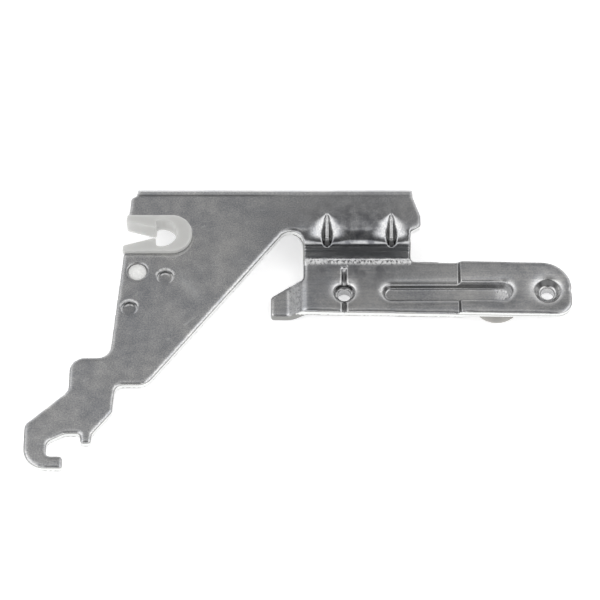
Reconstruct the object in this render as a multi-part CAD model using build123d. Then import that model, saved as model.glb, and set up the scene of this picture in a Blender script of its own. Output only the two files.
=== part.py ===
"""Door-side hinge arm of a dishwasher.

A pressed steel plate with a folded top flange, a hook below and a joggled arm to the right,
a moulded bush snapped into the slot for the pivot pin, and a headed stud welded to the arm.
The origin is the middle of the pivot seat on the front face of the plate; +Z leaves that face
and +X runs along the arm. All sizes are in millimetres.
"""
import os
from math import atan2, cos, hypot, radians, sin, tan

from build123d import *

# Sheet and the plane that the part lies on
SHEET = 3.0
REST_DEPTH = 14.0
REST_Z = -REST_DEPTH

# Top flange, folded away from the front face
FOLD_Y = 14.2
FOLD_R = 4.0
FLANGE_LEFT = -8.0
FLANGE_LENGTH = 84.5
FLANGE_RIGHT = FLANGE_LEFT + FLANGE_LENGTH
FLANGE_Y = FOLD_Y + FOLD_R

# Left edge of the plate, leaning outwards towards the hook
EDGE_X = -10.9
EDGE_LEAN = 5.1
EDGE_CORNER_DROP = 0.7
EDGE_CORNER_RISE = 0.4

# Right end of the plate, beside the step
CHEEK = 3.0
CHEEK_SLANT = 6.7
CHEEK_R = 1.5
CHEEK_RISE = 1.0
RELIEF = 0.8

# Hook below the plate
HOOK_DROP = 78.7
HOOK_LOW = -HOOK_DROP
HOOK_BAR = 3.8
HOOK_R = 6.5
HOOK_TOP_RISE = 14.2
HOOK_TOP_R = 3.0
NECK_LEFT = -26.4
NECK_WIDTH = 13.8
NECK_RIGHT = NECK_LEFT + NECK_WIDTH
NECK_LEAN = 0.7
NECK_RISE = 25.4
NECK_R = 4.0
HOOK_OVERHANG = 12.5
HOOK_LEFT = NECK_LEFT - HOOK_OVERHANG
HOOK_WALL = 6.7
MOUTH_LEFT = HOOK_LEFT + HOOK_WALL
MOUTH_HEIGHT = 7.5
MOUTH_LOW = HOOK_LOW + HOOK_BAR
MOUTH_TOP = MOUTH_LOW + MOUTH_HEIGHT
MOUTH_SLANT_RUN = 5.2
MOUTH_SLANT_DROP = 2.7
MOUTH_TOP_R = 4.0
MOUTH_BACK_R = 2.5
MOUTH_LOW_R = 1.2
TIP_REACH = 4.9
TIP_X = MOUTH_LEFT + TIP_REACH
TIP_R = 1.0
TOOTH_INSET = 6.3
TOOTH_RIGHT = NECK_RIGHT - TOOTH_INSET
TOOTH_WIDTH = 3.7
TOOTH_LEFT = TOOTH_RIGHT - TOOTH_WIDTH
TOOTH_DEPTH = 3.2
TOOTH_DRAFT = 0.4
SMALL_R = 0.5

# Shoulder and foot of the plate above the hook
SHOULDER_RISE = 36.6
SHOULDER_Y = HOOK_LOW + SHOULDER_RISE
SHOULDER_R = 4.5
SHOULDER_INNER_R = 4.0
FOOT_RISE = 27.5
FOOT_Y = HOOK_LOW + FOOT_RISE
FOOT_X = -3.5
FOOT_R = 5.0
FOOT_INNER_R = 2.5
ELBOW_DROP = 9.1
ELBOW_R = 1.0

# Step from the plate down to the arm, beside the notch
WEB_LEFT = 42.9
WEB_WIDTH = 32.8
WEB_RIGHT = WEB_LEFT + WEB_WIDTH
WEB_START = 2.9
WEB_ANGLE = 60.0
WEB_TOP_R = 5.5
WEB_LOW_R = 1.5
STEP = 7.4
NOTCH_APEX = 9.1
NOTCH_R = 3.7

# Arm
ARM_Z = -STEP
ARM_LENGTH = 81.5
ARM_RIGHT = WEB_LEFT + ARM_LENGTH
ARM_TOP = -4.4
ARM_WIDTH = 17.4
ARM_LOW = ARM_TOP - ARM_WIDTH
ARM_CORNER_R = 1.2
ARM_TOP_DROP = 1.1
ARM_LOW_DROP = 1.8
ARM_TOP_R = 9.0
ARM_LOW_R = 4.6
ARM_LINE = -15.3
LIFT = 1.0
LIFT_INSET = 34.0
LIFT_X = ARM_RIGHT - LIFT_INSET
LIFT_RUN = 0.8
LIFT_R = 0.3
RAISED_Z = ARM_Z + LIFT
NICK_DEPTH = 0.6
NICK_HALF = 0.5
BEND_R = 2.0

# Tab at the arm's left end, pressed down onto the rest plane
TAB_REACH = 9.8
TAB_LEFT = WEB_LEFT - TAB_REACH
TAB_FLAT = 5.5
TAB_Z = REST_Z + SHEET
TAB_TOP_DROP = 10.7
TAB_KNEE_DROP = 7.0
TAB_ROOT_DROP = 6.2
TAB_R = 0.8

# Screw holes in the arm, each at the bottom of a pressed dish
HOLE_D = 4.0
DISH_DEPTH = 1.5
DISH_FLOOR = 0.6
INNER_HOLE_INSET = 12.5
INNER_HOLE_X = WEB_LEFT + INNER_HOLE_INSET
INNER_DISH_D = 6.2
OUTER_HOLE_INSET = 7.3
OUTER_HOLE_X = ARM_RIGHT - OUTER_HOLE_INSET
OUTER_DISH_D = 8.2
COLLAR_R = 2.9
COLLAR_DEPTH = 2.4

# Pressed line across the arm through the inner hole
CREASE_WIDTH = 1.8
CREASE_DEPTH = 0.9
CREASE_INSET = 1.5

# Stiffening bead along the arm
BEAD_LEFT_INSET = 24.2
BEAD_LEFT = WEB_LEFT + BEAD_LEFT_INSET
BEAD_RIGHT_INSET = 18.4
BEAD_RIGHT = ARM_RIGHT - BEAD_RIGHT_INSET
BEAD_FLOOR = 4.0
BEAD_DEPTH = 1.4
BEAD_DRAFT = 25.0
BEAD_WALL = 2.6
BEAD_RIDGE = 6.4

# Gusset darts across the step
DART_INSET = (7.3, 26.9)
DART_START_R = 0.5
DART_END_R = 0.9
DART_DRAFT = 25.0
DART_HEIGHT = 6.0
DART_WALL = 2.2
DART_START = 8.2
DART_END_Y = -0.8
DART_END_Z = -3.5

# Half-pierced dimples
DIMPLES = ((1.3, -14.5), (-9.2, -25.3))
DIMPLE_R = 2.5
DIMPLE_DEPTH = 0.6

# Pivot slot and bush
SLOT_R = 5.8
SLOT_END = 2.8
SEAT_R = 4.6
BUSH_LIP = 0.6
BUSH_FRONT = 2.0
BUSH_REAR = 1.5
BUSH_PROUD = 0.3
BUSH_FIT = 0.08
BARB_X = -1.7
THROAT_X = -2.6
THROAT_GAP = 1.85
FUNNEL_GAP = 4.2

# Locking peg of the bush in its round hole
PEG_X = -7.1
PEG_Y = -12.5
PEG_HOLE_R = 2.85
PEG_RECESS = 0.2
PEG_LOBE = 1.5

# Stud welded behind the bead, its head on the rest plane
STUD_INSET = 22.6
STUD_X = ARM_RIGHT - STUD_INSET
STUD_HEAD_R = 7.4
STUD_HEAD_T = 1.8
STUD_TOP_R = 5.4
STUD_RIM_T = 0.4
STUD_EDGE_R = 0.3
STUD_COLLAR_R = 2.9

# Length that reaches past the whole part
REACH = 2 * (HOOK_DROP + ARM_LENGTH)


def rounded_edges(corners, closed):
    """Straight runs through (x, y, radius) corners, joined by tangent arcs."""
    count = len(corners)
    joints = []
    for i, (x, y, radius) in enumerate(corners):
        inner = closed or 0 < i < count - 1
        if radius == 0 or not inner:
            joints.append(((x, y), None, (x, y)))
            continue
        before = corners[i - 1]
        after = corners[(i + 1) % count]
        a_in = atan2(before[1] - y, before[0] - x)
        a_out = atan2(after[1] - y, after[0] - x)
        half = abs((a_out - a_in + radians(180)) % radians(360) - radians(180)) / 2
        run = radius / tan(half)
        middle = atan2(sin(a_in) + sin(a_out), cos(a_in) + cos(a_out))
        reach = radius / sin(half) - radius
        joints.append((
            (x + run * cos(a_in), y + run * sin(a_in)),
            (x + reach * cos(middle), y + reach * sin(middle)),
            (x + run * cos(a_out), y + run * sin(a_out)),
        ))
    edges = []
    for i, (start, middle, end) in enumerate(joints):
        if middle:
            edges.append(ThreePointArc(start, middle, end))
        if i + 1 < count or closed:
            target = joints[(i + 1) % count][0]
            if hypot(target[0] - end[0], target[1] - end[1]) > 1e-6:
                edges.append(Line(end, target))
    return edges


def outline(*corners):
    """Closed face through rounded corners."""
    return make_face(rounded_edges(corners, True))


def ribbon(*corners):
    """Face of one sheet thickness behind a front line of rounded corners."""
    front = Wire(rounded_edges(corners, False))
    return make_face(offset(front, SHEET, side=Side.RIGHT).edges())


def edge_x(y):
    """Leaning left edge of the plate at a height."""
    return EDGE_X + y * tan(radians(EDGE_LEAN))


def along_x(profile, x0, x1):
    """Push a (y, z) face along the length from x0 to x1."""
    return extrude(Plane.YZ.offset(x0) * profile, x1 - x0)


def through(face, z0=-REACH, z1=REACH):
    """Push a plan face upright from z0 to z1."""
    return extrude(Pos(0, 0, z0) * face, z1 - z0)


def web_end_y():
    """Height in plan at which the step has reached the arm."""
    slope = radians(WEB_ANGLE)
    bends = WEB_TOP_R + WEB_LOW_R
    straight = (STEP - bends * (1 - cos(slope))) / tan(slope)
    return WEB_START - bends * sin(slope) - straight


def step_corners():
    """Front line of step, face and flange, starting just past the step's foot."""
    half = tan(radians(WEB_ANGLE) / 2)
    foot = web_end_y()
    return (
        (foot - SMALL_R, ARM_Z, 0),
        (foot + WEB_LOW_R * half, ARM_Z, WEB_LOW_R),
        (WEB_START - WEB_TOP_R * half, 0, WEB_TOP_R),
        (FLANGE_Y, 0, FOLD_R),
        (FLANGE_Y, REST_Z, 0),
    )


def hook_corners():
    """Corners of the hook, from the foot round to the shoulder."""
    tooth_low = MOUTH_TOP - TOOTH_DEPTH
    slant_y = MOUTH_TOP - MOUTH_SLANT_DROP
    return (
        (NECK_RIGHT, FOOT_Y, FOOT_INNER_R),
        (NECK_RIGHT - NECK_LEAN, FOOT_Y - ELBOW_DROP, ELBOW_R),
        (TOOTH_RIGHT, MOUTH_TOP, SMALL_R),
        (TOOTH_RIGHT - TOOTH_DRAFT, tooth_low, SMALL_R),
        (TOOTH_LEFT + TOOTH_DRAFT, tooth_low, SMALL_R),
        (TOOTH_LEFT, MOUTH_TOP, SMALL_R),
        (MOUTH_LEFT + MOUTH_SLANT_RUN, MOUTH_TOP, MOUTH_TOP_R),
        (MOUTH_LEFT, slant_y, MOUTH_BACK_R),
        (MOUTH_LEFT, MOUTH_LOW, MOUTH_LOW_R),
        (TIP_X, MOUTH_LOW, TIP_R),
        (TIP_X, HOOK_LOW, SMALL_R),
        (HOOK_LEFT, HOOK_LOW, HOOK_R),
        (HOOK_LEFT, HOOK_LOW + HOOK_TOP_RISE, HOOK_TOP_R),
        (NECK_LEFT, HOOK_LOW + NECK_RISE, NECK_R),
        (NECK_LEFT, SHOULDER_Y, SHOULDER_R),
    )


def plate_plan():
    """Plan outline of face, flange, hook and step."""
    corner_y = FOLD_Y - EDGE_CORNER_DROP
    foot = web_end_y()
    return outline(
        (FLANGE_LEFT, FLANGE_Y + SHEET, 0),
        (FLANGE_RIGHT, FLANGE_Y + SHEET, 0),
        (FLANGE_RIGHT, FOLD_Y, 0),
        (WEB_RIGHT + CHEEK, FOLD_Y - CHEEK_SLANT, CHEEK_R),
        (WEB_RIGHT + CHEEK, WEB_START + CHEEK_RISE, SMALL_R),
        (WEB_RIGHT, WEB_START - RELIEF, SMALL_R),
        (WEB_RIGHT, foot, 0),
        (WEB_LEFT, foot, 0),
        (WEB_LEFT, NOTCH_APEX, NOTCH_R),
        (FOOT_X, FOOT_Y, FOOT_R),
        *hook_corners(),
        (edge_x(SHOULDER_Y), SHOULDER_Y, SHOULDER_INNER_R),
        (edge_x(corner_y), corner_y, SMALL_R),
        (FLANGE_LEFT, FOLD_Y + EDGE_CORNER_RISE, 0),
    )


def arm_plan():
    """Plan outline of the arm and its tab, from the foot of the step."""
    foot = web_end_y()
    corner_y = ARM_TOP + 2 * ARM_CORNER_R
    return outline(
        (WEB_LEFT, foot, 0),
        (WEB_RIGHT - ARM_CORNER_R, foot, 0),
        (WEB_RIGHT - ARM_CORNER_R, corner_y, 0),
        (WEB_RIGHT, corner_y, 0),
        (WEB_RIGHT, ARM_TOP, ARM_CORNER_R),
        (ARM_RIGHT, ARM_TOP - ARM_TOP_DROP, ARM_TOP_R),
        (ARM_RIGHT, ARM_LINE + NICK_HALF, 0),
        (ARM_RIGHT - NICK_DEPTH, ARM_LINE, 0),
        (ARM_RIGHT, ARM_LINE - NICK_HALF, 0),
        (ARM_RIGHT, ARM_LOW - ARM_LOW_DROP, ARM_LOW_R),
        (TAB_LEFT, ARM_LOW, TAB_R),
        (TAB_LEFT, ARM_TOP - TAB_TOP_DROP, TAB_R),
        (TAB_LEFT + TAB_FLAT, ARM_TOP - TAB_KNEE_DROP, TAB_R),
        (WEB_LEFT, ARM_TOP - TAB_ROOT_DROP, TAB_R),
    )


def lift_corners(z):
    """Corners of the short ramp up to the outer end, on the front (z = 0) or behind it."""
    slope = atan2(LIFT, LIFT_RUN)
    x = LIFT_X - z * tan(slope / 2)
    return (x - LIFT_RUN / 2, ARM_Z + z, LIFT_R), (x + LIFT_RUN / 2, RAISED_Z + z, LIFT_R)


def arm_sheet():
    """Arm with its lowered tab and its raised outer end."""
    inner = ribbon(
        (TAB_LEFT - SHEET, TAB_Z, 0),
        (TAB_LEFT + TAB_FLAT, TAB_Z, BEND_R),
        (WEB_LEFT, ARM_Z, BEND_R + SHEET),
        (INNER_HOLE_X, ARM_Z, 0),
    )
    low, high = lift_corners(-SHEET)
    outer = outline(
        (INNER_HOLE_X, ARM_Z, 0),
        *lift_corners(0),
        (ARM_RIGHT + SHEET, RAISED_Z, 0),
        (ARM_RIGHT + SHEET, RAISED_Z - SHEET, 0),
        high,
        low,
        (INNER_HOLE_X, ARM_Z - SHEET, 0),
    )
    strip = extrude(Plane.XZ * inner, REACH) + extrude(Plane.XZ * outer, REACH)
    return strip & through(arm_plan())


def face_sheet():
    """Face plate, hook and flange with the step down to the arm."""
    split = WEB_LEFT - NOTCH_R
    flat = ribbon((HOOK_LOW - SHEET, 0, 0), (FLANGE_Y, 0, FOLD_R), (FLANGE_Y, REST_Z, 0))
    left = along_x(flat, HOOK_LEFT - SHEET, split)
    right = along_x(ribbon(*step_corners()), split, WEB_RIGHT + CHEEK + SHEET)
    return (left + right) & through(plate_plan())


def dart_ends(x):
    """Planes across the two ends of a dart's straight floor, and the floor's radius at each."""
    start = Vector(x, DART_START, 0)
    end = Vector(x, DART_END_Y, DART_END_Z)
    planes = [Plane(origin=at, x_dir=(1, 0, 0), z_dir=end - start) for at in (start, end)]
    return zip(planes, (DART_START_R, DART_END_R))


def dart_half(radius):
    """Right half of a dart's section: rounded floor, drafted wall, open top."""
    draft = radians(DART_DRAFT)
    side = radius * cos(draft)
    low = radius * (1 - sin(draft))
    slope = radius * sin(radians(45) - draft / 2)
    middle = (slope, radius - radius * cos(radians(45) - draft / 2))
    top = side + (DART_HEIGHT - low) * tan(draft)
    return make_face([
        ThreePointArc((0, 0), middle, (side, low)),
        Line((side, low), (top, DART_HEIGHT)),
        Line((top, DART_HEIGHT), (0, DART_HEIGHT)),
        Line((0, DART_HEIGHT), (0, 0)),
    ])


def dart_groove(x):
    """Space that the tool presses out of a dart, with a round lower end."""
    halves = []
    for plane, radius in dart_ends(x):
        halves.append(plane * dart_half(radius))
        end = revolve(halves[-1], Axis(plane.origin, plane.y_dir))
    right = loft(halves)
    return right + mirror(right, Plane.YZ.offset(x)) + end


def dart_ridge(x):
    """Tapered round bar under a dart's floor, one wall thicker all round."""
    circles = []
    ridge = None
    for plane, radius in dart_ends(x):
        raised = plane * Pos(0, radius, 0)
        circles.append(raised * Circle(radius + DART_WALL))
        ball = raised * Sphere(radius + DART_WALL)
        ridge = ridge + ball if ridge else ball
    return ridge + loft(circles)


def behind_step():
    """Space on the rear side of the front line of the step."""
    line = step_corners()
    back = outline(*line, (line[0][0], REST_Z, 0))
    return along_x(back, WEB_LEFT, WEB_RIGHT)


def add_darts(sheet):
    """Press the gusset darts: ridge behind, groove in front."""
    space = behind_step()
    for inset in DART_INSET:
        sheet = sheet + (dart_ridge(WEB_LEFT + inset) & space)
    for inset in DART_INSET:
        sheet = sheet - dart_groove(WEB_LEFT + inset)
    return sheet


def add_bead(sheet):
    """Press the stiffening bead into the arm."""
    length = BEAD_RIGHT - BEAD_LEFT
    floor = Pos((BEAD_LEFT + BEAD_RIGHT) / 2, ARM_LINE, ARM_Z - BEAD_DEPTH)
    flare = 2 * BEAD_DEPTH * tan(radians(BEAD_DRAFT))
    ridge = SlotOverall(length, BEAD_RIDGE)
    groove = SlotOverall(length - flare, BEAD_FLOOR)
    sheet = sheet + extrude(floor * Pos(0, 0, -BEAD_WALL) * ridge, BEAD_WALL)
    return sheet - extrude(floor * groove, BEAD_DEPTH + LIFT, taper=-BEAD_DRAFT)


def add_dimples(sheet):
    """Half-pierce the round dimples."""
    disc = Circle(DIMPLE_R)
    for x, y in DIMPLES:
        sheet = sheet + extrude(Pos(x, y, -SHEET - DIMPLE_DEPTH) * disc, DIMPLE_DEPTH)
        sheet = sheet - extrude(Pos(x, y, -DIMPLE_DEPTH) * disc, DIMPLE_DEPTH)
    return sheet


def dished_hole(x, z, dish_d):
    """Screw hole in the flat floor of a round dish."""
    bore = Pos(x, ARM_LINE, z) * Cylinder(HOLE_D / 2, 5 * SHEET)
    dish = Cone(HOLE_D / 2 + DISH_FLOOR, dish_d / 2, DISH_DEPTH)
    return bore + Pos(x, ARM_LINE, z - DISH_DEPTH / 2) * dish


def hole_collar(x, z):
    """Collar drawn down behind a screw hole."""
    return through(Pos(x, ARM_LINE) * Circle(COLLAR_R), z - SHEET - COLLAR_DEPTH, z - DISH_DEPTH)


def crease():
    """Pressed line across the arm through the inner hole."""
    half = CREASE_WIDTH / 2
    vee = make_face(Polyline((-half, 0), (0, -CREASE_DEPTH), (half, 0), close=True))
    start = Plane.XZ.offset(CREASE_INSET - web_end_y())
    return extrude(start * Pos(INNER_HOLE_X, ARM_Z) * vee, REACH)


def slot_plan(radius):
    """U lying on its side, open to the left."""
    run = SLOT_END - HOOK_LEFT
    return Pos(SLOT_END, 0) * Circle(radius) + Pos(SLOT_END - run / 2, 0) * Rectangle(run, 2 * radius)


def hinge_plate():
    """Pressed sheet: face, flange, hook, step, arm and tab."""
    sheet = face_sheet() + arm_sheet()
    sheet = add_darts(sheet)
    sheet = add_bead(sheet)
    sheet = add_dimples(sheet)
    sheet = sheet + hole_collar(INNER_HOLE_X, ARM_Z)
    sheet = sheet + hole_collar(OUTER_HOLE_X, RAISED_Z)
    sheet = sheet - crease()
    sheet = sheet - dished_hole(INNER_HOLE_X, ARM_Z, INNER_DISH_D)
    sheet = sheet - dished_hole(OUTER_HOLE_X, RAISED_Z, OUTER_DISH_D)
    sheet = sheet - through(slot_plan(SLOT_R))
    return sheet - Pos(PEG_X, PEG_Y) * Cylinder(PEG_HOLE_R, 3 * SHEET)


def bush_mouth():
    """Opening of the bush: funnel, throat between the barbs, and round seat."""
    far = 2 * HOOK_LEFT
    flare = THROAT_GAP + (FUNNEL_GAP - THROAT_GAP) * (far - THROAT_X) / (edge_x(0) - THROAT_X)
    funnel = outline(
        (THROAT_X, THROAT_GAP, 0),
        (THROAT_X, -THROAT_GAP, 0),
        (far, -flare, 0),
        (far, flare, 0),
    )
    throat = Pos(THROAT_X / 2, 0) * Rectangle(-THROAT_X, 2 * THROAT_GAP)
    seat = Circle(SEAT_R) & Pos(BARB_X + SEAT_R, 0) * Rectangle(2 * SEAT_R, 2 * SEAT_R)
    return funnel + throat + seat


def bush_ends():
    """Plan space right of the bush ends, which follow the plate's leaning edge."""
    top = FLANGE_Y
    return outline(
        (edge_x(top) - BUSH_PROUD, top, 0),
        (REACH, top, 0),
        (REACH, SHOULDER_Y, 0),
        (edge_x(SHOULDER_Y) - BUSH_PROUD, SHOULDER_Y, 0),
    )


def pivot_bush():
    """Moulded liner with a flange on each side of the sheet and a locking peg."""
    lobe_r = PEG_HOLE_R + PEG_LOBE
    lip = slot_plan(SLOT_R + BUSH_LIP)
    core = slot_plan(SLOT_R - BUSH_FIT)
    lobe = Pos(PEG_X, PEG_Y) * Circle(lobe_r) + Pos(PEG_X, PEG_Y / 2) * Rectangle(2 * lobe_r, -PEG_Y)
    bush = through(lip, 0, BUSH_FRONT)
    bush = bush + through(core, -SHEET, 0)
    bush = bush + through(lip + lobe, -SHEET - BUSH_REAR, -SHEET)
    bush = bush & through(bush_ends())
    bush = bush - through(bush_mouth())
    peg = through(Pos(PEG_X, PEG_Y) * Circle(PEG_HOLE_R - BUSH_FIT), -SHEET, -PEG_RECESS)
    return bush + peg


def locating_stud():
    """Headed stud standing on the bead's rear face."""
    seat = ARM_Z - BEAD_DEPTH - BEAD_WALL
    head_top = REST_Z + STUD_HEAD_T
    half = outline(
        (0, REST_Z, 0),
        (STUD_HEAD_R, REST_Z, 0),
        (STUD_HEAD_R, REST_Z + STUD_RIM_T, STUD_EDGE_R),
        (STUD_TOP_R, head_top, STUD_EDGE_R),
        (STUD_COLLAR_R, head_top, 0),
        (STUD_COLLAR_R, seat, 0),
        (0, seat, 0),
    )
    return Pos(STUD_X, ARM_LINE) * revolve(Plane.XZ * half, Axis.Z)


os.makedirs("parts", exist_ok=True)
export_step(hinge_plate(), "parts/hinge_plate.step")
export_step(pivot_bush(), "parts/pivot_bush.step")
export_step(locating_stud(), "parts/locating_stud.step")
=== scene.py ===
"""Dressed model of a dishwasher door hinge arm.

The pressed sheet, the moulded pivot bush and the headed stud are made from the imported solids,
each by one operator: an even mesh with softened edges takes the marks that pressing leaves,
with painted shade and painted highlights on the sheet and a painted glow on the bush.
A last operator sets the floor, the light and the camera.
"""
import math

import bmesh
import bpy
import numpy as np
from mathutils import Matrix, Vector
from mathutils.bvhtree import BVHTree
from mathutils.kdtree import KDTree


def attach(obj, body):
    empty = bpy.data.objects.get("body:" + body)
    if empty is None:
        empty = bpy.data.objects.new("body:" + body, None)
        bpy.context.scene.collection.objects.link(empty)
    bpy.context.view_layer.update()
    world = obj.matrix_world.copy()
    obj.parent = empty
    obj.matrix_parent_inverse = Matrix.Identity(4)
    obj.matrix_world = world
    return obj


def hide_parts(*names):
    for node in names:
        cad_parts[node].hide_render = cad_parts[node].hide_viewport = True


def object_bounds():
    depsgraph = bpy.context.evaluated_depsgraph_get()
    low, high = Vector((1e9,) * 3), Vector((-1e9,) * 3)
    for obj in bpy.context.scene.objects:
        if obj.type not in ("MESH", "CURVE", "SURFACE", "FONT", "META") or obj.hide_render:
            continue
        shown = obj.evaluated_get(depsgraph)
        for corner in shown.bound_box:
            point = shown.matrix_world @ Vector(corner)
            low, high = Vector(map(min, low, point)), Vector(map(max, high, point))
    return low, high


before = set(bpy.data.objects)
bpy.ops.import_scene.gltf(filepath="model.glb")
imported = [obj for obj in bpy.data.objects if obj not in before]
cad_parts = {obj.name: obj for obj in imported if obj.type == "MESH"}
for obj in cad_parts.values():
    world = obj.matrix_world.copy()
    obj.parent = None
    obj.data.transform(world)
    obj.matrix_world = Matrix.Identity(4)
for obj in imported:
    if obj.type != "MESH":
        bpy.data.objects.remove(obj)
CAD_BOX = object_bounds()

bl_info = {
    "name": "Door hinge arm",
    "version": (1, 0, 0),
    "blender": (4, 5, 0),
    "location": "3D View > Sidebar > Hinge",
    "description": "Builds the pressed hinge arm, its bush, its stud and a studio stage",
    "category": "Object",
}

MM = 0.001

# Sheet, fold, step and arm, in millimetres
SHEET = 3.0
FOLD_Y = 14.2
FOLD_CREST = FOLD_Y + 0.3
FOLD_FADE = (25.0, 40.0)
WEB_LEFT = 42.9
WEB_RIGHT = 75.7
WEB_SIDE = 1.0
WEB_START = 2.9
WEB_TOP_R = 5.5
WEB_SLOPE = math.radians(60)
WEB_FOOT = -5.4
STEP_TOP = 9.0
LOW_LEFT = 30.9
TAB_KNEE = 38.6
TAB_SOFT = 0.5
TAB_TOP = WEB_FOOT - 4
ARM_LINE = -15.3
ARM_TOP = -6.5
ARM_FADE = 1.0
ARM_SIDE_FADE = 2.0
ARM_Z = -7.4
LIFT_X = 90.4
LIFT_GAP = 0.3
STUD_X = 101.8

# Gusset darts, the crowned strip coined in their floors, and the painted highlight on that strip
DART_X = (50.2, 69.8)
DART_HALF = 2.0
DART_TOP = 7.2
DART_INSIDE = (-2.8, 8.0)
DART_MIDDLE = 3.0
DART_REACH = 6.0
DART_MOUTH = 0.3
DART_FORMED = 1.0
DART_BOTTOM_R = (0.5, 0.9)
DART_WIDENING = 0.045
DART_NARROWEST = DART_TOP + 1
DART_DEEPEST = 4.0
STRIP_SHARE = 0.8
STRIP_CROWN = 0.15
DART_HIGHLIGHT_HALF = (0.4, 0.7)
DART_HIGHLIGHT_LOW = (0.0, 1.0)

# Dips drawn down beside the darts, and the sag of the sheet before the bend
DIP_START = 0.9
DIP_SPREAD = 7.0
DIP_RUN = 5.0
DIP_LEAD = 0.4
DIP_FADE = 1.5
SAG_DEPTH = 0.25
SAG_TOP = WEB_START + 4
SAG_LOW = WEB_START - 2
SAG_SIDE = 4.0

# Bead, the crumpled spot at its right end, and the painted highlights at both its ends
BEAD_ENDS = (69.9, 103.3)
BEAD_HALF = 2.7
BEAD_FALL = 0.9
BEAD_DEEPEST = BEAD_ENDS[1] + 2
BEAD_END_REACH = 3.0
CRUSHED = (104.2, -14.3)
CRUSHED_R = 1.6
CRUMPLE_DEPTH = 0.16
CRUMPLE_FOLDS = ((6.1, 2.0), (-1.7, 5.3))
BEAD_LEFT_GLINT = (66.8, ARM_LINE + 0.6)
BEAD_LEFT_GLINT_R = 0.8

# Screw holes in dishes of given radius, and the line pressed through the first one
LINE_X = 55.4
DISHES = (((LINE_X, ARM_LINE), 3.1), ((117.1, ARM_LINE), 4.1))
DISH_FALL = 1.3
DISH_SIDE = (0.8, 0.97)
DISH_HIGHLIGHT_LOW = ARM_LINE - 1
HOLE_R = 2.0
HOLE_LIP = 0.2
LINE_SPAN = (-21.0, -6.0)
LINE_FINER = (-22.0, -6.5)
LINE_HALF = 0.9
LINE_SOFT = 0.3
# LINE_LEAVES: where painted shade lies along the pressed line; the FORK values: a painted highlight
# fork at its upper end
LINE_LEAVES = ((-7.6, 4.6), (ARM_LINE - 2.2, 5.2))
FORK_SPREAD = 0.65
FORK_MIDDLE = 0.7
FORK_REACH = 0.8
FORK_WIDTH = 0.22

# Half-pierced dimples, and the bush's locking peg
DIMPLES = ((1.3, -14.5), (-9.2, -25.3))
DIMPLE_R = 2.5
DIMPLE_RIM = 0.5
DIMPLE_LOW = -1.0
# Painted shade on the dimples' upper walls, and painted highlight rings round them
DIMPLE_WALL = (0.6, 1.6)
DIMPLE_HIGHLIGHT = (0.4, 1.2)
DIMPLE_RINGS = (0.35, -1.1)
PEG = (-7.1, -12.5)
PEG_R = 2.85
PEG_LOW = -1.2
PEG_LUMP = 0.15
PEG_LUMPS = ((3.1, 0.8), (2.7, 0.4))
PEG_CROWN = 0.2
PEG_CROWN_R = 1.6
PEG_RIM = 0.8

# How far the finer mesh, and the gap in the cut-edge look, reach round each form
FINER = {
    "bead": 1.0,
    "crushed": 0.8,
    "dart": 2.0,
    "dish": 1.2,
    "dimple": 1.0,
    "line": 0.7,
    "lift": 1.2,
}
CLEAR = {
    "bead": 1.0,
    "dart": 0.4,
    "dish": 0.6,
    "dimple": 0.8,
    "foot": 1.0,
    "line": 0.3,
    "peg": 0.8,
}

# How dark the painted shade lies in each form, and how bright the painted highlight lies at each
# place
PAINTED_SHADE = {
    "bead": 0.45,
    "dart": 0.75,
    "dish": 0.8,
    "dimple": 0.95,
    "line": 0.75,
    "lift": 0.6,
    "fold": 0.5,
    "peg": 0.5,
}
PAINTED_HIGHLIGHT = {"foot": 0.9, "tab": 0.35, "dish": 0.9, "dart": 0.7}

# Soft widths of narrow marks, the painted shade and painted highlight bands among them
HAIR = 0.25
FOLD_WIDTH = 0.35
FINE = 0.4
NARROW = 0.5
FOOT_BAND = 0.75

# Burnished wall of the step: slopes in radians, and places along y, between which it begins
DRAWN_SLOPE = (0.9, 1.02)
DRAWN_LOW = (WEB_FOOT + 1.1, WEB_FOOT + 1.7)

# Film of press oil round the step, and handling marks on the face
OIL_MIDDLE = 60.0
OIL_STRETCH = 1.6
OIL_REACH = 14.0
OIL_RUBBED_OFF = 0.9
OIL_EDGE = 0.5
ARM_BRUSHING = 0.4
SMEAR = (8.0, -17.0)
SMEAR_LEVEL = 0.4
SMEAR_REACH = 2.2
SMEAR_LEAN = 0.7
SMEAR_STRETCH = 0.5
FACE_AREA = ((-35, -75), (40, 12))
SCRATCHES = 60
SCRATCH_SEED = 11
SCRATCH_TURN = 0.9
SCRATCH_HALF = (0.3, 2.2)
SCRATCH_LEVEL = (0.15, 0.5)
SCRATCH_WIDTH = 0.28

# Slow waves of the flat sheet: their lengths, and how they wander, slant and shift
WAVE_X = 7.0
WAVE_Y = 6.0
WAVE_WANDER = 1.3
WAVE_WANDER_Y = 9.0
WAVE_SLANT = 11.0
WAVE_SHIFT = 1.7

# Meshing: welding distance, rounds of softening, and reach of the rolled edge
WELD = 0.002
SOFTENING = 0.5
SHEET_ROUNDS = 3
BUSH_ROUNDS = 8
STUD_ROUNDS = 2
ROLL_REACH = 1.4

# Limits on a surface's slope in radians, and on its direction as parts of its unit normal
LEVEL_SLOPE = 0.1
UPRIGHT = 0.55
FLAT = 0.6
FACE_UP = 0.8
FORWARD = 0.15
SIDEWAYS = 0.7
NOT_REAR = -0.2
WALL_LEAN = (0.25, 0.6)


def linear(colour):
    """Scene-linear RGB of an sRGB hex colour."""
    parts = [int(colour[i : i + 2], 16) / 255 for i in (1, 3, 5)]
    return [c / 12.92 if c <= 0.04045 else ((c + 0.055) / 1.055) ** 2.4 for c in parts]


def opaque(colour):
    """Colour with full alpha."""
    return (*colour, 1)


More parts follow.
